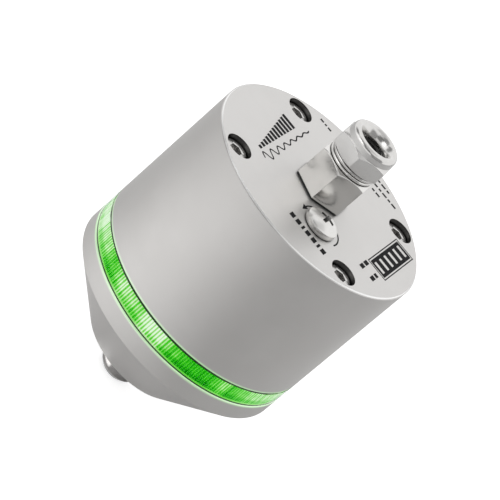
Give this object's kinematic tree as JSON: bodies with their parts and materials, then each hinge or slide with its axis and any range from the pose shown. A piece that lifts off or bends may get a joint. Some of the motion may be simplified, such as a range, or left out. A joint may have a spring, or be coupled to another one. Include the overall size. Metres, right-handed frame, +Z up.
{
  "type": "vibration sensor",
  "caption": "Round steel vibration sensor with a cone foot, a threaded mounting stud below, a lit green ring round its waist, and a hexagon cable gland on its screwed cover face.",
  "frame": {"origin": "centre of the mounting face, where the stud leaves the foot", "axes": "+Z up the axis of the housing to the cable gland, -Y to the side with the access screw"},
  "size_m": [0.05, 0.05, 0.0749],
  "materials": {
    "housing_steel": "fine bead-blasted stainless steel",
    "bright_steel": "bright nickel plate and plain stainless fasteners",
    "black_rubber": "matt black rubber",
    "clear_green": "clear ring with inner flutes, lit green from inside",
    "piezo_ceramic": "fired ceramic",
    "contact_brass": "plain brass",
    "heavy_alloy": "turned heavy alloy",
    "board_green": "solder mask",
    "light_lens": "pale lens",
    "black_plastic": "matt black moulding",
    "terminal_green": "matt green moulding",
    "can_aluminium": "plain can",
    "button_red": "matt red moulding"
  },
  "bodies": {
    "sensor": {"foot": "housing_steel", "mounting_stud": "bright_steel", "lower_gasket": "black_rubber", "light_ring": "clear_green", "upper_gasket": "black_rubber", "hood": "housing_steel", "cover_screws": "bright_steel", "gland_gasket": "black_rubber", "gland_body": "bright_steel", "gland_seal": "black_rubber", "gland_washer": "bright_steel", "gland_nut": "bright_steel", "access_screw": "bright_steel", "access_seal": "black_rubber", "piezo_rings": "piezo_ceramic", "signal_electrode": "contact_brass", "seismic_mass": "heavy_alloy", "preload_screw": "bright_steel", "lower_spacers": "contact_brass", "led_board": "board_green", "ring_lights": "light_lens", "upper_spacers": "contact_brass", "main_board": "board_green", "board_screws": "bright_steel", "header_block": "black_plastic", "header_pins": "contact_brass", "terminal_block": "terminal_green", "terminal_screws": "bright_steel", "output_relay": "black_plastic", "controller_chip": "black_plastic", "filter_capacitors": "can_aluminium", "set_switch": "black_plastic"},
    "button": {"set_button": "button_red"}
  },
  "joints": [
    {"name": "set_press", "type": "slide", "parent": "sensor", "child": "button", "axis": [0, 0, -1], "range_m": [0, 0.00025], "stiffness_N_per_m": 6000}
  ]
}
